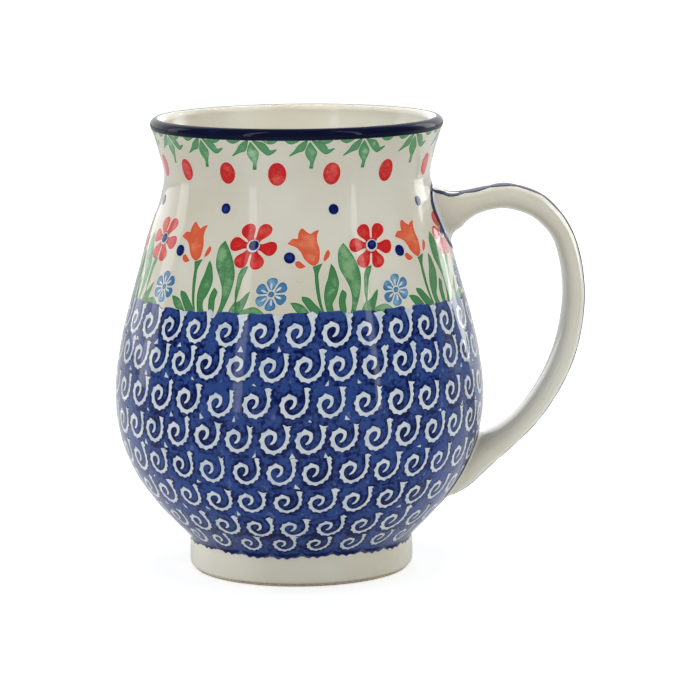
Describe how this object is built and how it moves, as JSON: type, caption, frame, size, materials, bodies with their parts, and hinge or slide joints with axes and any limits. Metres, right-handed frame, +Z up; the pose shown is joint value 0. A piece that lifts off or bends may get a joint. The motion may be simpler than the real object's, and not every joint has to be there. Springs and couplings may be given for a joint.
{
  "type": "stoneware mug",
  "caption": "Bulbous stoneware mug with a narrow waist, flared lip, foot ring and strap handle, glazed and painted with flowers above a band of scrolls.",
  "frame": {"origin": "on the standing plane, under the middle of the whole mug's box, vessel and handle together; the vessel's axis is 13.4 mm to -X of it", "axes": "+Z up, +X from the vessel towards the handle, +Y to the left of someone who looks along +X"},
  "size_m": [0.1244, 0.0976, 0.12],
  "materials": {
    "stoneware_clay": "matte",
    "joining_slip": "matte",
    "clear_glaze": "gloss",
    "cobalt_glaze": "gloss",
    "underglaze_cobalt": "gloss",
    "underglaze_red": "gloss",
    "underglaze_orange": "gloss",
    "underglaze_green": "gloss",
    "underglaze_blue": "gloss"
  },
  "bodies": {
    "root": {"clay_body": "stoneware_clay", "clay_handle": "stoneware_clay", "upper_slip_joint": "joining_slip", "lower_slip_joint": "joining_slip", "outer_glaze": "clear_glaze", "inner_glaze": "clear_glaze", "handle_glaze": "clear_glaze", "well_glaze": "clear_glaze", "rim_band": "cobalt_glaze"}
  },
  "joints": []
}
